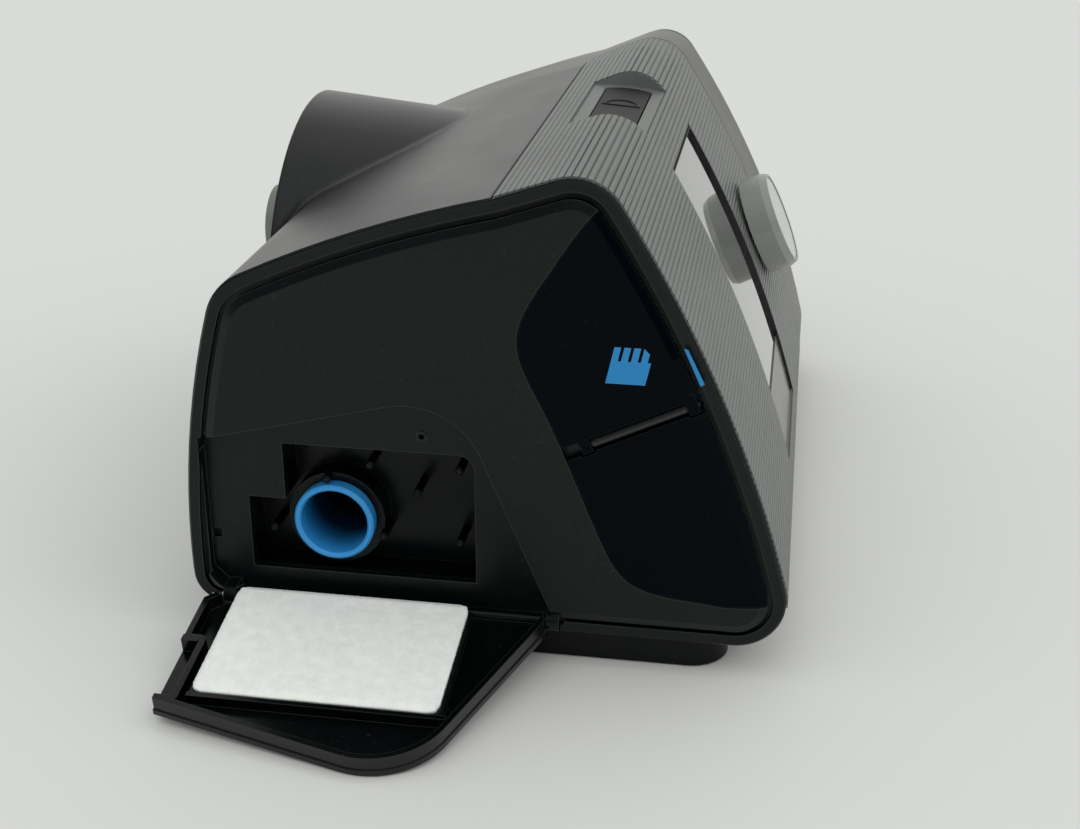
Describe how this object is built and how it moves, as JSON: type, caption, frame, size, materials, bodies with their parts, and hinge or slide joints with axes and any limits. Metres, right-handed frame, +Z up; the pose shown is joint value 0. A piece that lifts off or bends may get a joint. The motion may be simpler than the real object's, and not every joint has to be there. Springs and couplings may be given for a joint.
{
  "type": "bedside positive airway pressure machine",
  "caption": "Bedside breathing-therapy machine with ribbed front, screen, turn-and-press dial, open air-filter door, rear air outlet and slide-out water tub.",
  "frame": {"origin": "on the table, below the centre of the whole object's box with its filter door open", "axes": "+X from the filter end to the water tub's end, -Y towards the ribbed front with the screen, +Z up"},
  "size_m": [0.257, 0.1494, 0.1161],
  "materials": {
    "case_grey": "fine spark texture",
    "fascia_grey": "fine vertical ribs",
    "case_black": "matte",
    "foot_rubber": "matte",
    "screw_steel": "zinc plated",
    "panel_black": "fine matte",
    "blue_silicone": "smooth",
    "filter_fleece": "white non-woven",
    "gloss_navy": "piano gloss",
    "bar_grey": "satin",
    "card_blue": "matte",
    "lens_black": "mirror gloss",
    "display_grey": "matte",
    "board_green": "solder mask",
    "dial_grey": "satin",
    "dial_silver": "satin",
    "cuff_grey": "smooth",
    "duct_grey": "smooth",
    "pin_brass": "plated",
    "heater_aluminium": "brushed",
    "tub_clear": "clear polycarbonate",
    "seal_silicone": "translucent",
    "tub_smoke": "smoked polycarbonate",
    "cap_dark": "satin",
    "impeller_white": "smooth"
  },
  "bodies": {
    "case": {"top_cover": "case_grey", "fascia": "fascia_grey", "lower_case": "case_black", "rubber_feet": "foot_rubber", "case_screws": "screw_steel", "side_panel": "panel_black", "filter_pocket": "panel_black", "inlet_tube": "blue_silicone", "card_cover_bar": "bar_grey", "adapter_cover": "gloss_navy", "card_socket": "screw_steel", "memory_card": "card_blue", "screen_lens": "lens_black", "display_module": "display_grey", "key_board": "board_green", "dial_encoder": "screw_steel", "outlet_connector": "cuff_grey", "outlet_seal": "foot_rubber", "outlet_plenum": "duct_grey", "power_inlet": "case_black", "power_pins": "pin_brass", "clip_pin": "screw_steel", "humidifier_bay": "duct_grey", "heater_plate": "heater_aluminium", "blower_housing": "duct_grey", "blower_cover": "duct_grey", "motor": "screw_steel", "blower_mounts": "blue_silicone", "main_board": "board_green"},
    "filter_door": {"filter_door": "panel_black", "filter_pad": "filter_fleece"},
    "card_cover": {"card_cover": "gloss_navy"},
    "home_button": {"home_button": "lens_black"},
    "start_button": {"start_button": "fascia_grey"},
    "dial_shaft": {"dial_shaft": "screw_steel"},
    "dial": {"dial": "dial_grey", "dial_face": "dial_silver"},
    "retention_clip": {"retention_clip": "case_black"},
    "tub": {"tub_body": "tub_clear", "tub_plate": "screw_steel", "tub_seal": "seal_silicone", "tub_lid": "tub_smoke", "tub_end_cap": "cap_dark"},
    "impeller": {"impeller": "impeller_white"}
  },
  "joints": [
    {"name": "filter_door_hinge", "type": "hinge", "parent": "case", "child": "filter_door", "pos_m": [-0.07687, 0.01767, 0.0108], "axis": [0, 1, 0], "range_deg": [0, 99.96]},
    {"name": "card_cover_hinge", "type": "hinge", "parent": "case", "child": "card_cover", "pos_m": [-0.07767, -0.02712, 0.0558], "axis": [0, -0.9027, 0.4303], "range_deg": [0, 80]},
    {"name": "home_button_press", "type": "slide", "parent": "case", "child": "home_button", "axis": [0, 0.9547, -0.2976], "range_m": [0, 0.0008], "stiffness_N_per_m": 1500},
    {"name": "start_button_press", "type": "slide", "parent": "case", "child": "start_button", "axis": [0, 0, -1], "range_m": [0, 0.001], "stiffness_N_per_m": 1500},
    {"name": "dial_press", "type": "slide", "parent": "case", "child": "dial_shaft", "axis": [0, 0.9158, -0.4016], "range_m": [0, 0.0006], "stiffness_N_per_m": 2500},
    {"name": "dial_turn", "type": "hinge", "parent": "dial_shaft", "child": "dial", "pos_m": [0.05703, -0.05853, 0.06717], "axis": [0, -0.9158, 0.4016], "continuous": true},
    {"name": "retention_clip_hinge", "type": "hinge", "parent": "case", "child": "retention_clip", "pos_m": [-0.03647, 0.06707, 0.0385], "axis": [1, 0, 0], "range_deg": [0, 90]},
    {"name": "tub_slide", "type": "slide", "parent": "case", "child": "tub", "axis": [1, 0, 0], "range_m": [0, 0.095]},
    {"name": "impeller_spin", "type": "hinge", "parent": "case", "child": "impeller", "pos_m": [-0.01447, -0.00133, 0.045], "axis": [0, 0, 1], "continuous": true}
  ]
}
